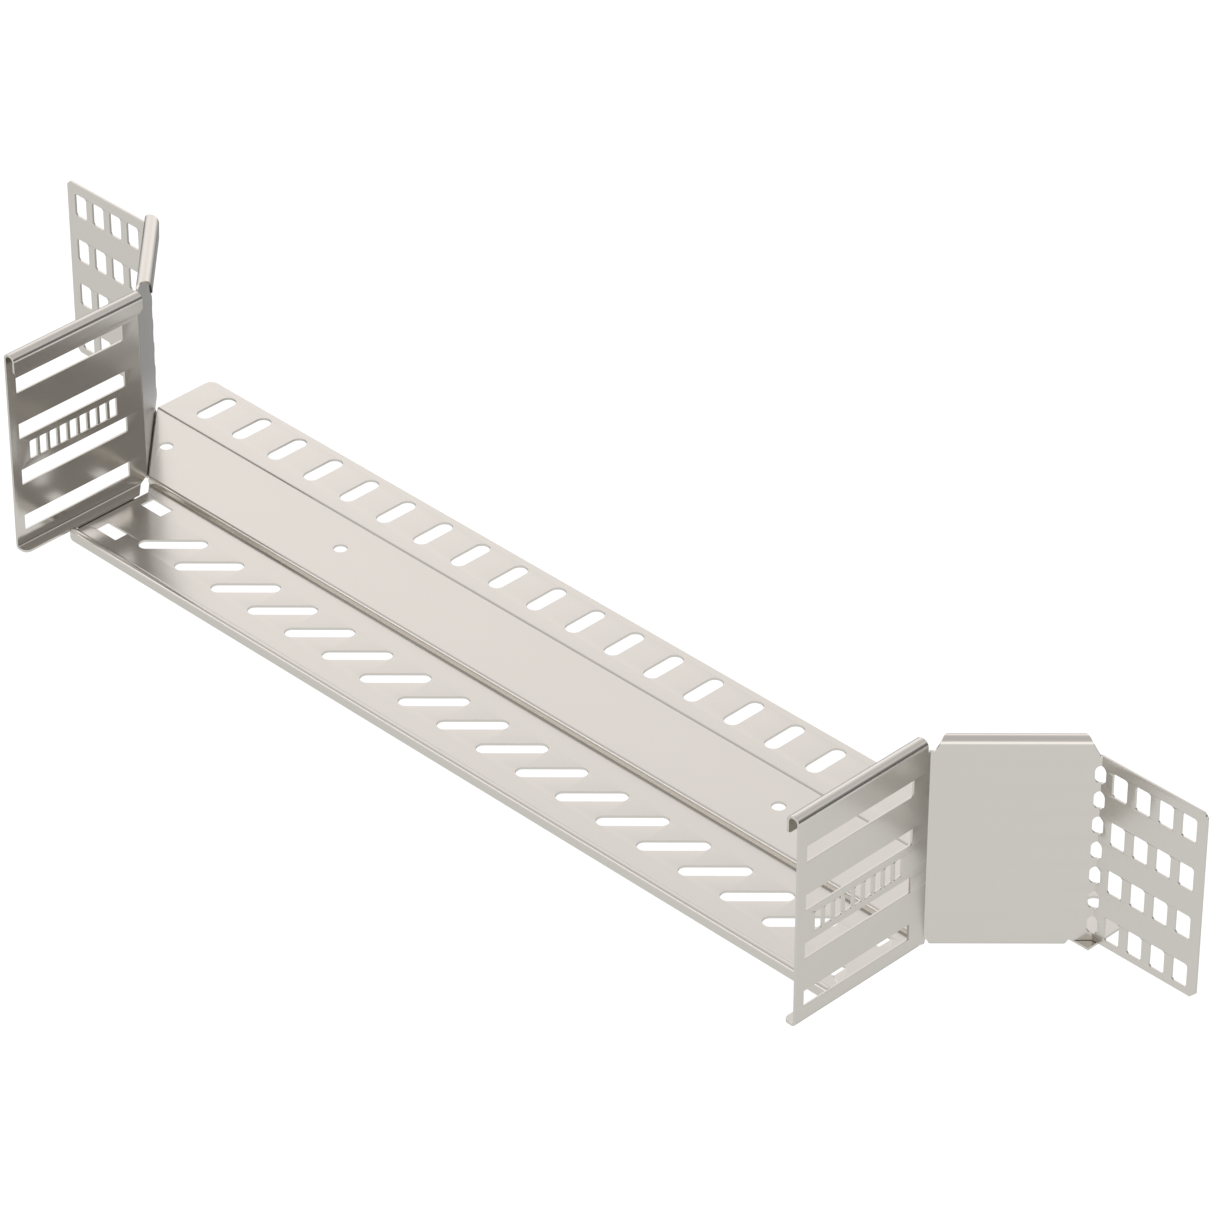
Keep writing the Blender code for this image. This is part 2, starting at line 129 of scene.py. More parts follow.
def rounded_outline(corners: list[Triple]) -> Outline:
    """A closed outline whose corners can be round.

    Args:
        corners: Every corner as (x, y, radius), where radius 0 keeps it sharp.

    Returns:
        The outline's points in order.
    """
    points: Outline = []
    count = len(corners)
    for index, (x, y, radius) in enumerate(corners):
        corner = Vector((x, y))
        if radius <= 0:
            points.append(corner)
            continue
        back = (Vector(corners[index - 1][:2]) - corner).normalized()
        ahead = (Vector(corners[(index + 1) % count][:2]) - corner).normalized()
        half = back.angle(ahead) / 2
        centre = corner + (back + ahead).normalized() * radius / math.sin(half)
        first = corner + back * radius / math.tan(half) - centre
        turn = math.pi - 2 * half
        if back.cross(ahead) > 0:
            turn = -turn
        start = math.atan2(first.y, first.x)
        points += arc_points(centre, radius, start, start + turn)
    return points


def box_hole(x: float, y: float, width: float, height: float, radius: float) -> Outline:
    """A rectangular hole with rounded corners.

    Args:
        x: The centre along the blank.
        y: The centre across the blank.
        width: The hole's size along the blank.
        height: The hole's size across the blank.
        radius: The corners' radius.

    Returns:
        The hole's outline.
    """
    half_w, half_h = width / 2, height / 2
    return rounded_outline([
        (x - half_w, y - half_h, radius),
        (x + half_w, y - half_h, radius),
        (x + half_w, y + half_h, radius),
        (x - half_w, y + half_h, radius),
    ])


def slot_hole(x: float, y: float, length: float, width: float, angle: float) -> Outline:
    """A slot with round ends.

    Args:
        x: The centre along the blank.
        y: The centre across the blank.
        length: The slot's whole length.
        width: Its width.
        angle: The turn of its long axis from X.

    Returns:
        The slot's outline.
    """
    along = unit(angle) * (length - width) / 2
    middle = Vector((x, y))
    ahead = arc_points(middle + along, width / 2, angle - QUARTER, angle + QUARTER)
    behind = arc_points(middle - along, width / 2, angle + QUARTER, angle + 3 * QUARTER)
    return ahead + behind


def round_hole(x: float, y: float, diameter: float) -> Outline:
    """A round hole's outline."""
    return arc_points(Vector((x, y)), diameter / 2, 0, FULL_TURN)[:-1]


def row_places(first: float, last: float, pitch: float) -> list[float]:
    """Places one pitch apart.

    Args:
        first: The first place.
        last: The place that none goes past.
        pitch: The distance between two places.

    Returns:
        The places in order.
    """
    count = int((last - first) / pitch + COUNT_SLACK) + 1
    return [first + pitch * index for index in range(count)]


def centred_places(centre: float, half_span: float, pitch: float) -> list[float]:
    """An odd number of places one pitch apart around a centre.

    Args:
        centre: The middle place.
        half_span: How far the places may reach to either side.
        pitch: The distance between two places.

    Returns:
        The places in order.
    """
    side = int(half_span / pitch + COUNT_SLACK)
    return [centre + pitch * index for index in range(-side, side + 1)]


class FoldPath:
    """The bend path of a sheet: flat lengths and round bends, walked along the sheet's middle."""

    def __init__(self, start: tuple[float, float], heading: float, normal_turn: float) -> None:
        """Starts the path.

        Args:
            start: The first point.
            heading: The direction of the walk, as an angle.
            normal_turn: The turn from the heading to the side that counts as the sheet's face.
        """
        self.point = Vector(start)
        self.heading = heading
        self.normal_turn = normal_turn
        self.distance = 0.0
        self.stations: list[tuple[float, Vector, Vector]] = []
        self.bends: list[tuple[float, float]] = []
        self.note_station()

    def note_station(self) -> None:
        """Keeps the distance, the point and the normal reached so far."""
        normal = unit(self.heading + self.normal_turn)
        self.stations.append((self.distance, self.point.copy(), normal))

    def flat(self, length: float) -> float:
        """Walks straight on and returns the distance reached."""
        self.point += unit(self.heading) * length
        self.distance += length
        self.note_station()
        return self.distance

    def bend(self, radius: float, angle: float) -> float:
        """Walks round a bend.

        Args:
            radius: The radius of the sheet's middle.
            angle: The turn, positive to the left.

        Returns:
            The distance reached.
        """
        side = math.copysign(QUARTER, angle)
        centre = self.point + unit(self.heading + side) * radius
        facets = max(2, math.ceil(abs(angle) / BEND_STEP - COUNT_SLACK))
        begin = self.distance
        for _ in range(facets):
            self.heading += angle / facets
            self.point = centre - unit(self.heading + side) * radius
            self.distance += radius * abs(angle) / facets
            self.note_station()
        self.bends.append((begin, self.distance))
        return self.distance

    def at(self, distance: float) -> tuple[Vector, Vector]:
        """The middle point and the normal at a distance along the path."""
        for before, after in zip(self.stations, self.stations[1:]):
            if distance <= after[0]:
                break
        share = (distance - before[0]) / (after[0] - before[0])
        return before[1].lerp(after[1], share), before[2].lerp(after[2], share)

    def reach(self, place: float) -> float:
        """The distance walked when the path first comes to a place on its first axis."""
        for before, after in zip(self.stations, self.stations[1:]):
            low, high = before[1].x, after[1].x
            if low < high and low <= place <= high:
                return before[0] + (after[0] - before[0]) * (place - low) / (high - low)
        raise ValueError("the path does not come to this place")

    def bend_lines(self) -> list[float]:
        """Every distance at which the sheet turns."""
        return [station[0] for station in self.stations[1:-1]]

    def strain(self, distance: float) -> float:
        """How far the sheet is stretched at a distance: 1 in a bend and 0 on a flat."""
        inside = any(low - WELD_DISTANCE <= distance <= high + WELD_DISTANCE for low, high in self.bends)
        return 1.0 if inside else 0.0


def vector_node(
    tree: NodeTree,
    operation: str,
    first: NodeSocket,
    second: NodeSocket | Triple | None = None,
) -> Node:
    """Places a node that works on vectors.

    Args:
        tree: The node tree to build in.
        operation: What the node does.
        first: The socket of its first vector.
        second: Its second vector, a socket or three numbers, where it takes one.

    Returns:
        The node.
    """
    node = tree.nodes.new("ShaderNodeVectorMath")
    node.operation = operation
    tree.links.new(first, node.inputs[0])
    if isinstance(second, NodeSocket):
        tree.links.new(second, node.inputs[1])
    elif second is not None:
        node.inputs[1].default_value = second
    return node


@dataclass(frozen=True)
class SteelFinish:
    """One finish of stainless sheet, from the rolled face to the sheared edge."""

    name: str
    colour: Triple
    roughness: float
    metallic: float = 1.0
    grazing_tint: Triple = (0.50, 0.50, 0.50)
    grain_length: float = 0.0600
    grain_width: float = 0.00035
    grain_tone: float = 0.003
    grain_roughness: float = 0.010
    grain_depth: float = 0.0000002
    cloud_size: float = 0.0900
    cloud_roughness: float = 0.010
    cloud_tone: float = 0.004
    strain_roughness: float = 0.030
    strain_tone: float = 0.015

    def material(self, effects: "SurfaceEffects") -> Material:
        """Builds the finish's material.

        Args:
            effects: The shared surface effects.

        Returns:
            The material.
        """
        material = bpy.data.materials.new(self.name)
        material.use_nodes = True
        tree = material.node_tree
        shader = tree.nodes["Principled BSDF"]
        shader.inputs["Metallic"].default_value = self.metallic
        shader.inputs["Specular Tint"].default_value = (*self.grazing_tint, 1.0)
        grain = effects.place(tree, Effect.ROLLED_GRAIN, {
            "Grain Length": self.grain_length,
            "Grain Width": self.grain_width,
            "Cloud Size": self.cloud_size,
        })
        strain = effects.place(tree, Effect.BEND_STRAIN, {"Fineness": self.grain_width})
        tone = self.weighed_sum(tree, 1.0, (
            (grain.outputs["Grain"], self.grain_tone),
            (grain.outputs["Cloud"], self.cloud_tone),
            (strain.outputs["Strain"], -self.strain_tone),
        ))
        tint = tree.nodes.new("ShaderNodeVectorMath")
        tint.operation = "SCALE"
        tint.inputs[0].default_value = self.colour
        tree.links.new(tone, tint.inputs["Scale"])
        tree.links.new(tint.outputs["Vector"], shader.inputs["Base Color"])
        roughness = self.weighed_sum(tree, self.roughness, (
            (grain.outputs["Grain"], self.grain_roughness),
            (grain.outputs["Cloud"], self.cloud_roughness),
            (strain.outputs["Strain"], self.strain_roughness),
        ))
        tree.links.new(roughness, shader.inputs["Roughness"])
        bump = tree.nodes.new("ShaderNodeBump")
        bump.inputs["Distance"].default_value = self.grain_depth
        tree.links.new(grain.outputs["Grain"], bump.inputs["Height"])
        tree.links.new(bump.outputs["Normal"], shader.inputs["Normal"])
        return material

    @staticmethod
    def weighed_sum(
        tree: NodeTree, start: float, terms: tuple[tuple[NodeSocket, float], ...]
    ) -> NodeSocket:
        """Adds weighed values up.

        Args:
            tree: The node tree to build in.
            start: The value that the sum starts from.
            terms: Every socket with its weight.

        Returns:
            The socket of the sum.
        """
        total: NodeSocket | None = None
        for socket, weight in terms:
            node = tree.nodes.new("ShaderNodeMath")
            node.operation = "MULTIPLY_ADD"
            tree.links.new(socket, node.inputs[0])
            node.inputs[1].default_value = weight
            if total is None:
                node.inputs[2].default_value = start
            else:
                tree.links.new(total, node.inputs[2])
            total = node.outputs["Value"]
        return total


class SurfaceEffects:
    """Builds every shared effect once and places it in a material with its own values."""

    grain_detail: float = 3.0
    cloud_detail: float = 2.0
    noise_low: float = 0.25
    noise_high: float = 0.75
    crazing_scale: float = 0.5

    def __init__(self) -> None:
        """Builds the node groups."""
        self.groups = {
            Effect.ROLLED_GRAIN: self.rolled_grain(),
            Effect.BEND_STRAIN: self.bend_strain(),
        }

    def place(self, tree: NodeTree, effect: Effect, values: dict[str, float]) -> Node:
        """Places an effect in a material.

        Args:
            tree: The material's node tree.
            effect: Which effect.
            values: The group's inputs by name.

        Returns:
            The group node.
        """
        node = tree.nodes.new("ShaderNodeGroup")
        node.node_tree = self.groups[effect]
        for name, value in values.items():
            node.inputs[name].default_value = value
        return node

    @staticmethod
    def new_group(
        effect: Effect, inputs: tuple[str, ...], outputs: tuple[str, ...]
    ) -> tuple[NodeTree, Node, Node]:
        """Starts a node group with named float sockets.

        Args:
            effect: The effect that the group makes.
            inputs: The names of its inputs.
            outputs: The names of its outputs.

        Returns:
            The group's tree, its input node and its output node.
        """
        tree = bpy.data.node_groups.new(effect.value, "ShaderNodeTree")
        for name in inputs:
            tree.interface.new_socket(name=name, in_out="INPUT", socket_type="NodeSocketFloat")
        for name in outputs:
            tree.interface.new_socket(name=name, in_out="OUTPUT", socket_type="NodeSocketFloat")
        return tree, tree.nodes.new("NodeGroupInput"), tree.nodes.new("NodeGroupOutput")

    @staticmethod
    def blank_place(tree: NodeTree) -> NodeSocket:
        """The place on the flat blank, so that an effect follows the sheet round its folds."""
        place = tree.nodes.new("ShaderNodeAttribute")
        place.attribute_name = FLAT_LAYER
        return place.outputs["Vector"]

    def rolled_grain(self) -> NodeTree:
        """The mill's long fine grain and the soft clouds of a rolled sheet."""
        tree, inside, outside = self.new_group(
            Effect.ROLLED_GRAIN, ("Grain Length", "Grain Width", "Cloud Size"), ("Grain", "Cloud")
        )
        place = self.blank_place(tree)
        stretch = tree.nodes.new("ShaderNodeCombineXYZ")
        tree.links.new(inside.outputs["Grain Length"], stretch.inputs["X"])
        tree.links.new(inside.outputs["Grain Width"], stretch.inputs["Y"])
        tree.links.new(inside.outputs["Grain Width"], stretch.inputs["Z"])
        fine = vector_node(tree, "DIVIDE", place, stretch.outputs["Vector"])
        self.centred_noise(tree, fine.outputs["Vector"], self.grain_detail, outside.inputs["Grain"])
        broad = vector_node(tree, "DIVIDE", place, inside.outputs["Cloud Size"])
        self.centred_noise(tree, broad.outputs["Vector"], self.cloud_detail, outside.inputs["Cloud"])
        return tree

    def centred_noise(
        self, tree: NodeTree, vector: NodeSocket, detail: float, target: NodeSocket
    ) -> None:
        """Feeds a socket with noise between about -1 and 1.

        Args:
            tree: The group's tree.
            vector: The place that the noise reads.
            detail: The noise's detail.
            target: The socket to feed.
        """
        noise = tree.nodes.new("ShaderNodeTexNoise")
        noise.inputs["Scale"].default_value = 1.0
        noise.inputs["Detail"].default_value = detail
        tree.links.new(vector, noise.inputs["Vector"])
        centred = tree.nodes.new("ShaderNodeMapRange")
        centred.inputs["From Min"].default_value = self.noise_low
        centred.inputs["From Max"].default_value = self.noise_high
        centred.inputs["To Min"].default_value = -1.0
        centred.inputs["To Max"].default_value = 1.0
        tree.links.new(noise.outputs["Fac"], centred.inputs["Value"])
        tree.links.new(centred.outputs["Result"], target)

    def bend_strain(self) -> NodeTree:
        """The fine crazing where the sheet was stretched round a bend."""
        tree, inside, outside = self.new_group(Effect.BEND_STRAIN, ("Fineness",), ("Strain",))
        layer = tree.nodes.new("ShaderNodeAttribute")
        layer.attribute_name = STRAIN_LAYER
        spot = vector_node(tree, "DIVIDE", self.blank_place(tree), inside.outputs["Fineness"])
        noise = tree.nodes.new("ShaderNodeTexNoise")
        noise.inputs["Scale"].default_value = self.crazing_scale
        tree.links.new(spot.outputs["Vector"], noise.inputs["Vector"])
        mask = tree.nodes.new("ShaderNodeMath")
        mask.operation = "MULTIPLY"
        tree.links.new(layer.outputs["Fac"], mask.inputs[0])
        tree.links.new(noise.outputs["Fac"], mask.inputs[1])
        tree.links.new(mask.outputs["Value"], outside.inputs["Strain"])
        return tree


@dataclass
class Sheet:
    """What every folded sheet of the branch shares: its material, its edges and how it is made."""

    slot: str
    thickness: float = 0.0012
    edge_softness: float = 0.00008
    finish: SteelFinish = SteelFinish("rolled_face", colour=(0.550, 0.532, 0.492), roughness=0.18)
    cut_finish: SteelFinish = SteelFinish(
        "sheared_edge", colour=(0.620, 0.600, 0.560), roughness=0.60, metallic=0.50,
        grain_length=0.0004, grain_width=0.0004, grain_tone=0.03, grain_depth=0.00001,
    )

    def cut_blank(self, name: str, outline: Outline, holes: list[Outline]) -> Mesh:
        """Cuts the flat blank with its softened edges.

        Args:
            name: The piece's name.
            outline: The blank's outline.
            holes: The outline of each hole.

        Returns:
            The flat mesh, with the sheet's middle at height 0.
        """
        curve = bpy.data.curves.new(name + "_blank", "CURVE")
        curve.dimensions = "2D"
        curve.fill_mode = "BOTH"
        curve.extrude = self.thickness / 2 - self.edge_softness
        curve.bevel_depth = self.edge_softness
        curve.bevel_resolution = 0
        curve.offset = -self.edge_softness
        for points in [outline] + holes:
            spline = curve.splines.new("POLY")
            spline.points.add(len(points) - 1)
            for control, point in zip(spline.points, points):
                control.co = (point[0], point[1], 0, 1)
            spline.use_cyclic_u = True
        blank = bpy.data.objects.new(name + "_blank", curve)
        bpy.context.scene.collection.objects.link(blank)
        bpy.context.view_layer.update()
        evaluated = blank.evaluated_get(bpy.context.evaluated_depsgraph_get())
        mesh = bpy.data.meshes.new_from_object(evaluated)
        mesh.name = name
        bpy.data.objects.remove(blank)
        bpy.data.curves.remove(curve)
        return mesh

    def fold(self, mesh: Mesh, along: FoldPath | None, across: FoldPath, place: Place) -> None:
        """Folds the blank and notes its flat coordinates, its strain and its cut edges.

        Args:
            mesh: The flat mesh, changed in place.
            along: The bend path in plan, where the sheet has one.
            across: The bend path of the section.
            place: Where a point of the blank goes: from (u, v, w) to the folded place.
        """
        work = bmesh.new()
        work.from_mesh(mesh)
        bmesh.ops.remove_doubles(work, verts=work.verts, dist=WELD_DISTANCE)
        for path, axis in ((along, 0), (across, 1)):
            for line in path.bend_lines() if path else []:
                self.score(work, line, axis)
        bmesh.ops.triangulate(work, faces=[face for face in work.faces if len(face.verts) > 4])
        bmesh.ops.recalc_face_normals(work, faces=work.faces)
        flat_layer = work.verts.layers.float_vector.new(FLAT_LAYER)
        strain_layer = work.verts.layers.float.new(STRAIN_LAYER)
        for face in work.faces:
            flat_face = abs(face.normal.z) > math.cos(FLAT_FACE_ANGLE)
            face.material_index = Surface.FACE.value if flat_face else Surface.CUT.value
        for vert in work.verts:
            u, v, w = vert.co
            vert[flat_layer] = vert.co.copy()
            strain = across.strain(v)
            if along:
                strain = max(strain, along.strain(u))
            vert[strain_layer] = strain
            vert.co = place(u, v, w)
        bmesh.ops.recalc_face_normals(work, faces=work.faces)
        work.to_mesh(mesh)
        work.free()

    @staticmethod
    def score(work: bmesh.types.BMesh, line: float, axis: int) -> None:
        """Cuts the blank's faces along one bend line.

        Args:
            work: The blank.
            line: Where the line lies.
            axis: 0 for a line at one u, and 1 for a line at one v.
        """
        normal = Vector((0, 0, 0))
        normal[axis] = 1
        geometry = work.verts[:] + work.edges[:] + work.faces[:]
        bmesh.ops.bisect_plane(
            work, geom=geometry, dist=SCORE_DISTANCE, plane_co=normal * line, plane_no=normal
        )

    def dress(self, name: str, mesh: Mesh, effects: SurfaceEffects, node: str) -> Object:
        """Gives the sheet its finish and puts it over its CAD node.

        Args:
            name: The piece's name.
            mesh: The folded mesh.
            effects: The shared surface effects.
            node: The CAD node that the piece stands for.

        Returns:
            The finished piece.
        """
        mesh.materials.clear()
        mesh.materials.append(self.finish.material(effects))
        mesh.materials.append(self.cut_finish.material(effects))
        mesh.shade_smooth()
        mesh.set_sharp_from_angle(angle=SHARP_ANGLE)
        piece = bpy.data.objects.new(name, mesh)
        bpy.context.scene.collection.objects.link(piece)
        even = piece.modifiers.new("even_shading", "WEIGHTED_NORMAL")
        even.keep_sharp = True
        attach(piece, BODY)
        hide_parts(node)
        log.info("%s: %d faces", name, len(mesh.polygons))
        return piece


@dataclass
class SideRail(Sheet):
    """A side rail: wall, fold, 45 degree panel, perforated fold and perforated wing."""

    slot: str = "rail_steel"
    branch_width: float = 0.4964
    height: float = 0.1068
    front: float = 0.0
    underside: float = 0.0
    seat_gap: float = 0.0003
    floor_sheet: float = 0.0012

    wall_length: float = 0.0785
    splay_reach: float = 0.0498
    splay_angle: float = math.radians(45.0)
    wing_length: float = 0.0568
    fold_inside_radius: float = 0.0008

    foot_width: float = 0.0070
    foot_bend_radius: float = 0.0020
    foot_corner_radius: float = 0.0032
    foot_mitre: float = 0.0064
    wall_foot_end: float = 0.0030
    fold_notch_rise: float = 0.0006
    panel_foot_width: float = 0.0050
    panel_foot_start: float = 0.0020
    panel_foot_end: float = 0.0110

    rim_width: float = 0.0070
    rim_lip_height: float = 0.0096
    rim_top_radius: float = 0.0032
    rim_corner_cut: float = 0.0024
    rim_front_radius: float = 0.0015
    wall_rim_end: float = 0.0015
    rim_notch_start: float = 0.0018
    rim_notch_floor: float = 0.1010
    rim_slant: float = 0.52

    wing_top: float = 0.0987
    wing_chamfer_top: float = 0.0022
    wing_chamfer_bottom: float = 0.0030
    wing_hole_width: float = 0.0081
    wing_hole_height: float = 0.0121
    wing_hole_radius: float = 0.0014
    wing_hole_first: float = 0.01025
    wing_hole_pitch: float = 0.01245

    row_first: float = 0.0123
    row_pitch: float = 0.0249
    row_edge: float = 0.0040

    fold_hole_width: float = 0.0056
    fold_hole_height: float = 0.0090
    fold_hole_first: float = 0.0112
    fold_hole_pitch: float = 0.0130

    wall_slot_start: float = 0.0051
    wall_slot_margin: float = 0.0097
    wall_slot_height: float = 0.0082
    short_slot_width: float = 0.0044
    short_slot_height: float = 0.0097
    short_slot_radius: float = 0.0006
    short_slot_pitch: float = 0.0060
    short_slot_margin: float = 0.0050

    @property
    def panel_length(self) -> float:
        """The 45 degree panel's length along its outer face."""
        return self.splay_reach / math.sin(self.splay_angle)

    @property
    def raised_edge(self) -> float:
        """The height at which the rail passes over the floor plate."""
        return self.thickness + self.seat_gap + self.floor_sheet + self.seat_gap

    def plan(self) -> tuple[FoldPath, dict[str, float]]:
        """The bend path in plan.

        Returns:
            The path, and the distances of the wall's end, the panel, the second fold and the wing.
        """
        middle = self.fold_inside_radius + self.thickness / 2
        tangent = self.fold_inside_radius * math.tan(self.splay_angle / 2)
        turn_back = QUARTER - self.splay_angle
        tangent_back = self.fold_inside_radius * math.tan(turn_back / 2)
        path = FoldPath((self.branch_width / 2 - self.thickness / 2, 0), QUARTER, QUARTER)
        marks = {"wall": path.flat(self.wall_length - tangent)}
        marks["panel"] = path.bend(middle, -self.splay_angle) - tangent
        path.flat(self.panel_length - tangent - tangent_back)
        marks["fold"] = path.distance + middle * turn_back / 2
        marks["wing"] = path.bend(middle, -turn_back) - tangent_back
        path.flat(self.wing_length - tangent_back)
        return path, marks

    def section(self) -> tuple[FoldPath, float]:
        """The bend path across the rail.

        Returns:
            The path, and the distance at which the wall starts above the foot.
        """
        middle = self.thickness / 2
        path = FoldPath((self.foot_width, middle), math.pi, -QUARTER)
        path.flat(self.foot_width - self.foot_bend_radius)
        wall = path.bend(self.foot_bend_radius - middle, -QUARTER)
        path.flat(self.height - self.foot_bend_radius - self.rim_top_radius)
        path.bend(self.rim_top_radius - middle, -QUARTER)
        path.flat(self.rim_width - 2 * self.rim_top_radius)
        path.bend(self.rim_top_radius - middle, -QUARTER)
        path.flat(self.rim_lip_height - self.rim_top_radius)
        return path, wall

    def outline(self, plan: FoldPath, marks: dict[str, float], section: FoldPath, wall: float) -> Outline:
        """The blank's outline, with the notches that part foot and rim at the folds.

        Args:
            plan: The bend path in plan.
            marks: Its distances by name.
            section: The bend path across the rail.
            wall: The distance at which the wall starts above the foot.

        Returns:
            The outline's points.
        """
        panel = marks["panel"]
        lift = wall - self.foot_bend_radius
        end = section.distance
        raised = lift + self.raised_edge
        notch = lift + self.rim_notch_floor
        top = lift + self.wing_top
        wall_end = self.wall_length - self.wall_foot_end
        foot_first = panel + self.panel_foot_start
        foot_last = panel + self.panel_length - self.panel_foot_end
        panel_inset = self.foot_width - self.panel_foot_width
        panel_mitre = self.foot_mitre - panel_inset
        rim_wall = self.wall_length - self.wall_rim_end
        rim_first = panel + self.rim_notch_start
        rim_last = marks["fold"] - self.rim_notch_start / 2
        near_cut = self.rim_slant * (end - notch)
        far_cut = self.rim_slant * (end - top)
        wing_end = plan.distance
        return rounded_outline([
            (0, 0, self.foot_corner_radius),
            (wall_end - self.foot_mitre, 0, 0),
            (wall_end, self.foot_mitre, 0),
            (self.wall_length, raised + self.fold_notch_rise, 0),
            (panel + self.panel_foot_start / 2, raised, 0),
            (foot_first, self.foot_mitre, 0),
            (foot_first + panel_mitre, panel_inset, 0),
            (foot_last - panel_mitre, panel_inset, 0),
            (foot_last, self.foot_mitre, 0),
            (foot_last + self.panel_foot_start / 2, raised, 0),
            (wing_end - self.wing_chamfer_bottom, raised, 0),
            (wing_end, raised + self.wing_chamfer_bottom, 0),
            (wing_end, top - self.wing_chamfer_top, 0),
            (wing_end - self.wing_chamfer_top, top, 0),
            (rim_last, top, 0),
            (rim_last - far_cut, end, 0),
            (rim_first + near_cut, end, 0),
            (rim_first, notch, 0),
            (rim_wall, notch, 0),
            (rim_wall, end - self.rim_corner_cut, 0),
            (rim_wall - self.rim_corner_cut, end, 0),
            (0, end, self.rim_front_radius),
        ])

    def holes(self, marks: dict[str, float], wall: float) -> list[Outline]:
        """Every hole of the blank.

        Args:
            marks: The plan's distances by name.
            wall: The distance at which the wall starts above the foot.

        Returns:
            The outlines: wall slots, short slots, fold holes and wing holes.
        """
        lift = wall - self.foot_bend_radius
        top = self.wing_top - self.row_edge
        rows = row_places(self.row_first, top - self.wing_hole_height / 2, self.row_pitch)
        length = self.wall_length - self.wall_slot_start - self.wall_slot_margin
        middle = self.wall_slot_start + length / 2
        found = [box_hole(middle, lift + row, length, self.wall_slot_height, 0) for row in rows]
        short_row = lift + rows[len(rows) // 2] - self.row_pitch / 2
        half_span = length / 2 - self.short_slot_margin - self.short_slot_width / 2
        for place in centred_places(middle, half_span, self.short_slot_pitch):
            found.append(box_hole(
                place, short_row, self.short_slot_width, self.short_slot_height, self.short_slot_radius
            ))
        last = top - self.fold_hole_height / 2
        for place in row_places(self.fold_hole_first, last, self.fold_hole_pitch):
            found.append(slot_hole(
                marks["fold"], lift + place, self.fold_hole_height, self.fold_hole_width, QUARTER
            ))
        last = self.wing_length - self.row_edge - self.wing_hole_width / 2
        for column in row_places(self.wing_hole_first, last, self.wing_hole_pitch):
            for row in rows:
                found.append(box_hole(
                    marks["wing"] + column, lift + row,
                    self.wing_hole_width, self.wing_hole_height, self.wing_hole_radius,
                ))
        return found

    def build(self, side: Side, effects: SurfaceEffects) -> Object:
        """Builds one of the two rails.

        Args:
            side: Which rail.
            effects: The shared surface effects.

        Returns:
            The finished rail.
        """
        node = side.name.lower() + "_side_rail"
        plan, marks = self.plan()
        section, wall = self.section()
        outline = self.outline(plan, marks, section, wall)
        mesh = self.cut_blank(node + "_finish", outline, self.holes(marks, wall))

        def place(u: float, v: float, w: float) -> Vector:
            """Where a point of the flat blank goes."""
            foot, inward = plan.at(u)
            middle, normal = section.at(v)
            across = middle + normal * w
            spot = foot + inward * (across.x - self.thickness / 2)
            return Vector((side.value * spot.x, self.front + spot.y, self.underside + across.y))

        self.fold(mesh, plan, section, place)
        return self.dress(node + "_finish", mesh, effects, node)


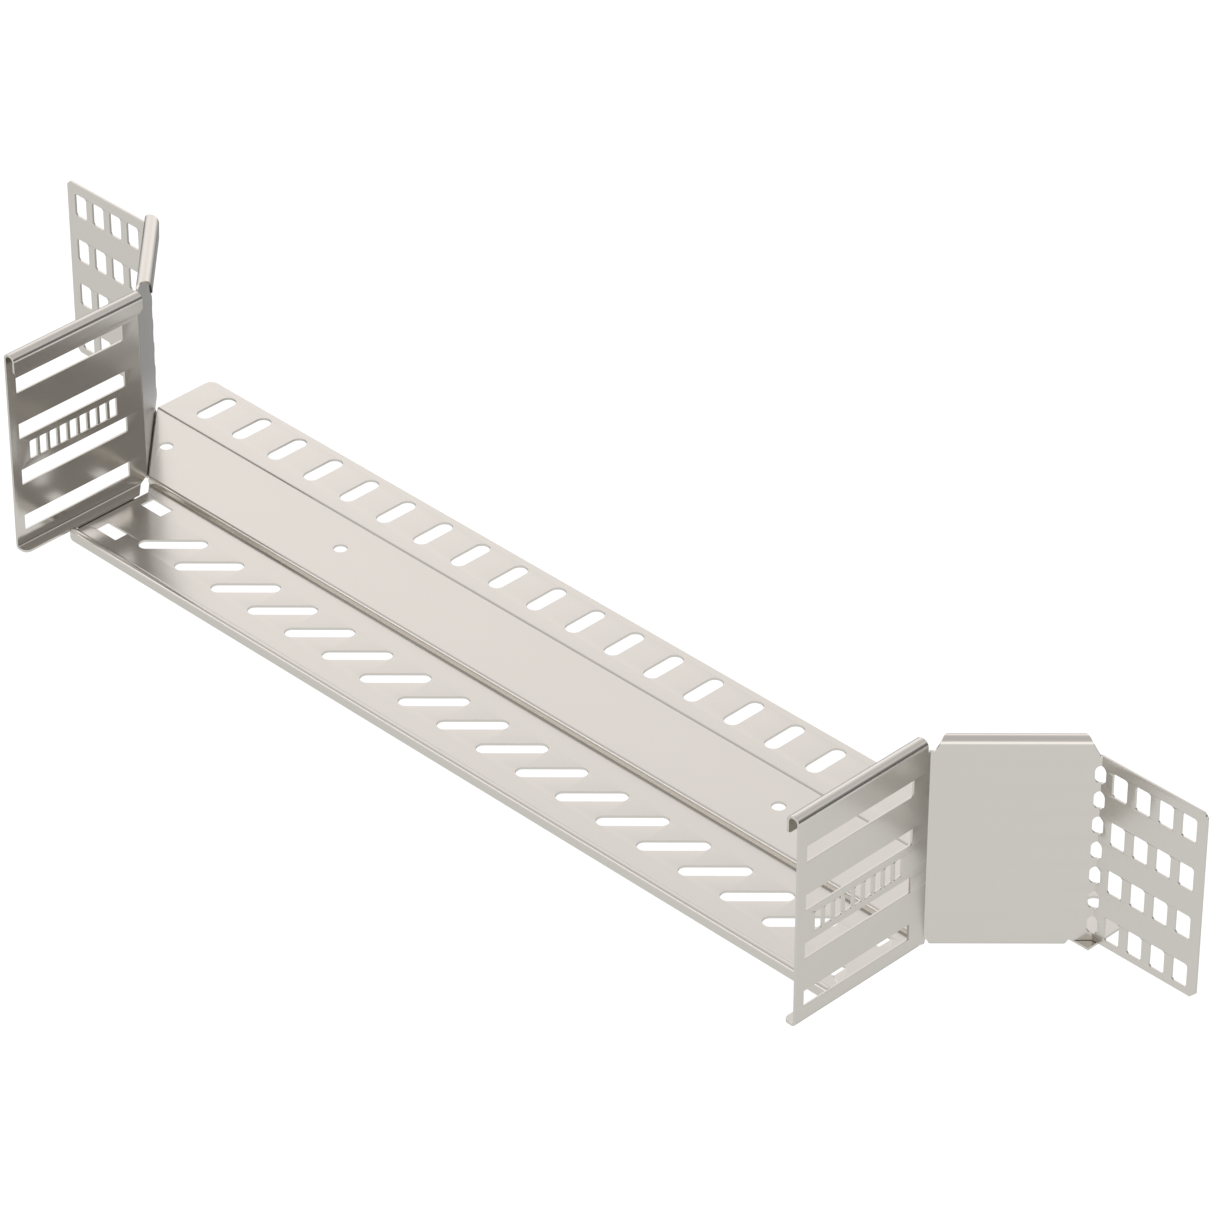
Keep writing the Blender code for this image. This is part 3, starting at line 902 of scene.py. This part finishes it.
@dataclass
class FloorPlate(Sheet):
    """The floor plate: lip, bead, low field, riser, splayed field, pressed line and strip."""

    slot: str = "floor_steel"
    rail: SideRail = field(default_factory=SideRail)
    splay_clearance: float = 0.0008

    lip_front: float = 0.0260
    lip_drop: float = 0.0039
    lip_bend_radius: float = 0.0014
    lip_corner_radius: float = 0.0020
    bead_flat: float = 0.0009
    bead_slope: float = math.radians(60.0)
    jog_radius: float = 0.0008
    riser_setback: float = 0.0015
    riser_slope: float = math.radians(85.0)
    line_setback: float = 0.0061
    line_slope: float = math.radians(30.0)
    line_flat: float = 0.0002
    strip_width: float = 0.0346

    under_foot_inset: float = 0.0032
    under_foot_setback: float = 0.0125
    strip_overhang: float = 0.0115
    strip_corner_radius: float = 0.0040

    tray_pitch: float = 0.0250
    strip_slot_margin: float = 0.0203
    strip_slot_front_edge: float = 0.0086
    strip_slot_back_edge: float = 0.0037
    strip_slot_width: float = 0.0079
    slant_slot_setback: float = 0.0249
    slant_slot_length: float = 0.0321
    slant_slot_width: float = 0.0072
    slant_slot_angle: float = math.radians(45.0)
    slant_slot_edge: float = 0.0400
    tab_hole_setbacks: tuple[float, float] = (0.0377, 0.0099)
    tab_hole_inset: float = 0.0198
    tab_hole_width: float = 0.0140
    tab_hole_depth: float = 0.0078
    tab_hole_radius: float = 0.0005
    round_hole_setback: float = 0.0247
    round_hole_edge: float = 0.0091
    round_hole_spacing: float = 0.1211
    round_hole_diameter: float = 0.0065

    @property
    def low_top(self) -> float:
        """The top of the low field, under the rails' feet."""
        return -self.rail.seat_gap

    @property
    def bead_top(self) -> float:
        """The top of the front bead, level with the rails' feet."""
        return self.rail.thickness

    @property
    def high_top(self) -> float:
        """The top of the splayed field and the strip, over the rails' feet."""
        return self.rail.thickness + self.rail.seat_gap + self.thickness

    @property
    def line_place(self) -> float:
        """Where the pressed line lies."""
        return self.rail.wall_length + self.rail.splay_reach - self.line_setback

    def jog(self, path: FoldPath, rise: float, slope: float) -> None:
        """Walks a jog, up or down, between two equal bends.

        Args:
            path: The bend path.
            rise: How far the sheet climbs, or falls where it is negative.
            slope: The angle of the flat between the bends.
        """
        bends = 2 * self.jog_radius * (1 - math.cos(slope))
        turn = math.copysign(slope, rise)
        path.bend(self.jog_radius, turn)
        path.flat((abs(rise) - bends) / math.sin(slope))
        path.bend(self.jog_radius, -turn)

    def jog_run(self, rise: float, slope: float) -> float:
        """How far a jog of this rise and slope reaches along the plate."""
        bends = 2 * self.jog_radius * (1 - math.cos(slope))
        return 2 * self.jog_radius * math.sin(slope) + (rise - bends) / math.tan(slope)

    def section(self) -> tuple[FoldPath, float, float]:
        """The bend path from the lip's lower edge to the strip's back edge.

        Returns:
            The path, and the distances at which the front bead and the pressed line end.
        """
        middle = self.thickness / 2
        underside = self.low_top - self.lip_drop
        path = FoldPath((self.lip_front + middle, underside), QUARTER, QUARTER)
        path.flat(self.bead_top - underside - self.lip_bend_radius)
        path.bend(self.lip_bend_radius - middle, -QUARTER)
        path.flat(self.bead_flat)
        self.jog(path, self.low_top - self.bead_top, self.bead_slope)
        bead_end = path.distance
        rise = self.high_top - self.low_top
        riser = self.rail.wall_length + self.riser_setback
        path.flat(riser - self.jog_run(rise, self.riser_slope) / 2 - path.point.x)
        self.jog(path, rise, self.riser_slope)
        half_line = 2 * self.jog_radius * math.sin(self.line_slope)
        half_line += self.line_flat * math.cos(self.line_slope)
        path.flat(self.line_place - half_line - path.point.x)
        path.bend(self.jog_radius, -self.line_slope)
        path.flat(self.line_flat)
        path.bend(self.jog_radius, 2 * self.line_slope)
        path.flat(self.line_flat)
        line_end = path.bend(self.jog_radius, -self.line_slope)
        path.flat(self.line_place + self.strip_width - path.point.x)
        return path, bead_end, line_end

    def splayed_edge(self, y: float) -> float:
        """Where the plate ends beside the 45 degree panel, as x at a place y."""
        rail = self.rail
        clear = (rail.thickness + self.splay_clearance) / math.cos(rail.splay_angle)
        return rail.branch_width / 2 - clear + (y - rail.wall_length) * math.tan(rail.splay_angle)

    def outline(self, path: FoldPath, bead_end: float, line_end: float) -> Outline:
        """The blank's outline, narrow at the bead and wider where it runs under the feet.

        Args:
            path: The bend path.
            bead_end: The distance at which the front bead ends.
            line_end: The distance at which the pressed line ends.

        Returns:
            The outline's points.
        """
        rail = self.rail
        bead_half = rail.branch_width / 2 - rail.foot_width - rail.seat_gap
        under_half = rail.branch_width / 2 - self.under_foot_inset
        gap = bead_half - self.splayed_edge(rail.wall_length)
        relief_end = path.reach(rail.wall_length + gap / math.tan(rail.splay_angle))
        wide_start = bead_end + self.thickness
        wide_end = path.reach(rail.wall_length - self.under_foot_setback)
        strip_start = path.reach(self.line_place)
        strip_left = self.splayed_edge(self.line_place)
        strip_right = strip_left + self.strip_overhang
        back = path.distance
        front = [
            (bead_half, wide_start, 0),
            (under_half, wide_start, 0),
            (under_half, wide_end, 0),
            (bead_half, wide_end, 0),
            (bead_half, relief_end, 0),
        ]
        lines = [line for line in path.bend_lines() if relief_end < line < line_end]
        splayed = [(self.splayed_edge(path.at(line)[0].x), line, 0) for line in lines]
        before_strip = [point for point in splayed if point[1] < strip_start]
        return rounded_outline([
            (-bead_half, 0, self.lip_corner_radius),
            (bead_half, 0, self.lip_corner_radius),
            *front,
            *splayed,
            (self.splayed_edge(path.at(line_end)[0].x), line_end, 0),
            (strip_right, line_end, 0),
            (strip_right, back, self.strip_corner_radius),
            (-strip_left, back, self.strip_corner_radius),
            (-strip_left, strip_start, 0),
            *[(-x, line, radius) for x, line, radius in reversed(front + before_strip)],
        ])

    def holes(self, path: FoldPath) -> list[Outline]:
        """Every hole of the blank.

        Args:
            path: The bend path.

        Returns:
            The outlines: strip slots, slanted slots, tab holes and round holes.
        """
        rail = self.rail
        strip_left = self.splayed_edge(self.line_place)
        length = self.strip_width - self.strip_slot_front_edge - self.strip_slot_back_edge
        strip_v = path.distance - self.strip_slot_back_edge - length / 2
        last = strip_left + self.strip_overhang - self.strip_slot_width
        found = [
            slot_hole(x, strip_v, length, self.strip_slot_width, QUARTER)
            for x in row_places(self.strip_slot_margin - strip_left, last, self.tray_pitch)
        ]
        slant_v = path.reach(rail.wall_length - self.slant_slot_setback)
        for x in centred_places(0, rail.branch_width / 2 - self.slant_slot_edge, self.tray_pitch):
            found.append(slot_hole(
                x, slant_v, self.slant_slot_length, self.slant_slot_width, self.slant_slot_angle
            ))
        tab_x = rail.branch_width / 2 - self.tab_hole_inset
        round_y = rail.wall_length + self.round_hole_setback
        round_outer = self.splayed_edge(round_y) - self.round_hole_edge
        for side in Side:
            for setback in self.tab_hole_setbacks:
                found.append(box_hole(
                    side.value * tab_x, path.reach(rail.wall_length - setback),
                    self.tab_hole_width, self.tab_hole_depth, self.tab_hole_radius,
                ))
            for x in (round_outer - self.round_hole_spacing, round_outer):
                found.append(round_hole(side.value * x, path.reach(round_y), self.round_hole_diameter))
        return found

    def build(self, effects: SurfaceEffects) -> Object:
        """Builds the floor plate.

        Args:
            effects: The shared surface effects.

        Returns:
            The finished plate.
        """
        path, bead_end, line_end = self.section()
        outline = self.outline(path, bead_end, line_end)
        mesh = self.cut_blank("floor_plate_finish", outline, self.holes(path))

        def place(u: float, v: float, w: float) -> Vector:
            """Where a point of the flat blank goes."""
            middle, normal = path.at(v)
            spot = middle + normal * w
            return Vector((u, self.rail.front + spot.x, self.rail.underside + spot.y))

        self.fold(mesh, None, path, place)
        return self.dress("floor_plate_finish", mesh, effects, "floor_plate")


@dataclass(frozen=True)
class RoomLight:
    """How bright the room is from the horizon, at 0, up to the zenith, at 1."""

    name: str
    stops: tuple[tuple[float, float], ...]
    tint: Triple = (1.0, 0.97, 0.98)

    def ramp(self, tree: NodeTree, height: NodeSocket) -> NodeSocket:
        """Builds the light's colour ramp.

        Args:
            tree: The room's node tree.
            height: The socket that gives how far up a direction points, from 0 to 1.

        Returns:
            The socket of the light's colour.
        """
        node = tree.nodes.new("ShaderNodeValToRGB")
        node.label = self.name
        marks = node.color_ramp.elements
        while len(marks) < len(self.stops):
            marks.new(1.0)
        for mark, (place, light) in zip(marks, self.stops):
            mark.position = place
            mark.color = (*(light * share for share in self.tint), 1.0)
        tree.links.new(height, node.inputs["Fac"])
        return node.outputs["Color"]


@dataclass(frozen=True)
class RoomSide:
    """A side of the room with a light of its own, which comes in softly around its middle."""

    light: RoomLight
    towards: Triple
    begins: float
    full: float


@dataclass
class Studio:
    """The plain white studio: a white floor, a soft room with two sides, and the camera."""

    floor_size: float = 12.0
    floor_drop: float = 0.0002
    floor_body: Triple = (0.05, 0.05, 0.05)
    floor_seen: Triple = (1.0, 1.0, 1.0)
    floor_light: Triple = (0.98, 0.98, 0.98)
    floor_shade: Triple = (0.55, 0.55, 0.55)
    shade_centre: Triple = (-0.33, 0.22, 0.0)
    shade_reach: Triple = (0.35, 0.17, 1.0)
    shade_start: float = 0.80
    shade_end: float = 1.05
    all_round: RoomLight = RoomLight("lit_room", (
        (0.00, 1.35), (0.12, 1.75), (0.50, 1.70), (0.60, 1.32), (0.70, 0.88), (1.00, 0.83),
    ))
    sides: tuple[RoomSide, ...] = (
        RoomSide(
            RoomLight("banded_side", (
                (0.00, 1.15), (0.36, 1.15), (0.42, 2.60), (0.50, 2.60),
                (0.56, 1.10), (0.70, 0.88), (1.00, 0.83),
            )),
            towards=(-0.45, -0.89, 0.0), begins=0.70, full=0.88,
        ),
        RoomSide(
            RoomLight("dark_side", (
                (0.00, 0.15), (0.32, 0.20), (0.46, 0.40), (0.58, 0.54),
                (0.66, 1.25), (0.74, 0.85), (1.00, 0.83),
            )),
            towards=(0.60, 0.80, 0.0), begins=0.60, full=0.86,
        ),
    )
    view_aim: Triple = (-0.0273, 0.0860, -0.0005)
    view_distance: float = 2.7308
    view_azimuth: float = math.radians(45.19)
    view_elevation: float = math.radians(34.80)
    lens_mm: float = 177.54
    film_mm: float = 36.0

    def build(self) -> None:
        """Builds floor, room and camera."""
        self.build_floor()
        self.build_room()
        self.build_camera()

    @staticmethod
    def colour_mix(tree: NodeTree, share: NodeSocket) -> tuple[NodeSocket, NodeSocket, NodeSocket]:
        """Places a node that mixes two colours.

        Args:
            tree: The node tree to build in.
            share: How much of the second colour is taken.

        Returns:
            The sockets of the first colour, the second colour and the result.
        """
        mix = tree.nodes.new("ShaderNodeMix")
        mix.data_type = "RGBA"
        tree.links.new(share, mix.inputs["Factor"])
        first, second = (socket for socket in mix.inputs if socket.type == "RGBA")
        result = next(socket for socket in mix.outputs if socket.type == "RGBA")
        return first, second, result

    @staticmethod
    def soft_step(tree: NodeTree, value: NodeSocket, start: float, end: float) -> NodeSocket:
        """Maps a value softly onto 0 to 1.

        Args:
            tree: The node tree to build in.
            value: The value to map.
            start: Where the step leaves 0.
            end: Where it comes to 1.

        Returns:
            The socket of the mapped value.
        """
        step = tree.nodes.new("ShaderNodeMapRange")
        step.interpolation_type = "SMOOTHSTEP"
        step.inputs["From Min"].default_value = start
        step.inputs["From Max"].default_value = end
        tree.links.new(value, step.inputs["Value"])
        return step.outputs["Result"]

    def build_floor(self) -> None:
        """Builds the floor: white to the eye, and softly shaded where the steel mirrors it."""
        work = bmesh.new()
        bmesh.ops.create_grid(work, x_segments=1, y_segments=1, size=self.floor_size / 2)
        mesh = bpy.data.meshes.new("studio_floor")
        work.to_mesh(mesh)
        work.free()
        material = bpy.data.materials.new("studio_white")
        material.use_nodes = True
        tree = material.node_tree
        shader = tree.nodes["Principled BSDF"]
        shader.inputs["Base Color"].default_value = (*self.floor_body, 1.0)
        shader.inputs["Roughness"].default_value = 1.0
        shader.inputs["Emission Strength"].default_value = 1.0
        place = tree.nodes.new("ShaderNodeNewGeometry")
        offset = vector_node(tree, "SUBTRACT", place.outputs["Position"], self.shade_centre)
        spread = vector_node(tree, "DIVIDE", offset.outputs["Vector"], self.shade_reach)
        distance = vector_node(tree, "LENGTH", spread.outputs["Vector"])
        open_share = self.soft_step(tree, distance.outputs["Value"], self.shade_start, self.shade_end)
        shade, light, mirrored = self.colour_mix(tree, open_share)
        shade.default_value = (*self.floor_shade, 1.0)
        light.default_value = (*self.floor_light, 1.0)
        path = tree.nodes.new("ShaderNodeLightPath")
        other, seen, glow = self.colour_mix(tree, path.outputs["Is Camera Ray"])
        tree.links.new(mirrored, other)
        seen.default_value = (*self.floor_seen, 1.0)
        tree.links.new(glow, shader.inputs["Emission Color"])
        mesh.materials.append(material)
        floor = bpy.data.objects.new("studio_floor", mesh)
        floor.location = (0, 0, -self.floor_drop)
        bpy.context.scene.collection.objects.link(floor)
        log.info("studio_floor: %.1f m wide", self.floor_size)

    def build_room(self) -> None:
        """Builds the room: one light all round, and each side's own light over it."""
        world = bpy.data.worlds.new("studio_room")
        world.use_nodes = True
        tree = world.node_tree
        direction = tree.nodes.new("ShaderNodeTexCoord")
        split = tree.nodes.new("ShaderNodeSeparateXYZ")
        tree.links.new(direction.outputs["Generated"], split.inputs["Vector"])
        level = vector_node(tree, "MULTIPLY", direction.outputs["Generated"], LEVEL_PART)
        bearing = vector_node(tree, "NORMALIZE", level.outputs["Vector"])
        light = self.all_round.ramp(tree, split.outputs["Z"])
        for side in self.sides:
            facing = vector_node(tree, "DOT_PRODUCT", bearing.outputs["Vector"], side.towards)
            share = self.soft_step(tree, facing.outputs["Value"], side.begins, side.full)
            behind, before, mixed = self.colour_mix(tree, share)
            tree.links.new(light, behind)
            tree.links.new(side.light.ramp(tree, split.outputs["Z"]), before)
            light = mixed
        tree.links.new(light, tree.nodes["Background"].inputs["Color"])
        bpy.context.scene.world = world
        bpy.context.scene.view_settings.view_transform = "Standard"

    def build_camera(self) -> None:
        """Builds the camera at the photograph's viewing angle."""
        level = math.cos(self.view_elevation)
        outward = Vector((
            math.sin(self.view_azimuth) * level,
            -math.cos(self.view_azimuth) * level,
            math.sin(self.view_elevation),
        ))
        lens = bpy.data.cameras.new("studio_camera")
        lens.lens = self.lens_mm
        lens.sensor_width = self.film_mm
        camera = bpy.data.objects.new("studio_camera", lens)
        camera.location = Vector(self.view_aim) + outward * self.view_distance
        camera.rotation_euler = (-outward).to_track_quat("-Z", "Y").to_euler()
        bpy.context.scene.collection.objects.link(camera)
        bpy.context.scene.camera = camera


def main() -> None:
    """Builds the three sheets around the frame, and the studio."""
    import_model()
    rail_low, rail_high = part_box("right_side_rail")
    effects = SurfaceEffects()
    rail = SideRail(front=rail_low.y, underside=rail_low.z, height=rail_high.z - rail_low.z)
    FloorPlate(rail=rail).build(effects)
    for side in Side:
        rail.build(side, effects)
    Studio().build()


if __name__ == "__main__":
    main()
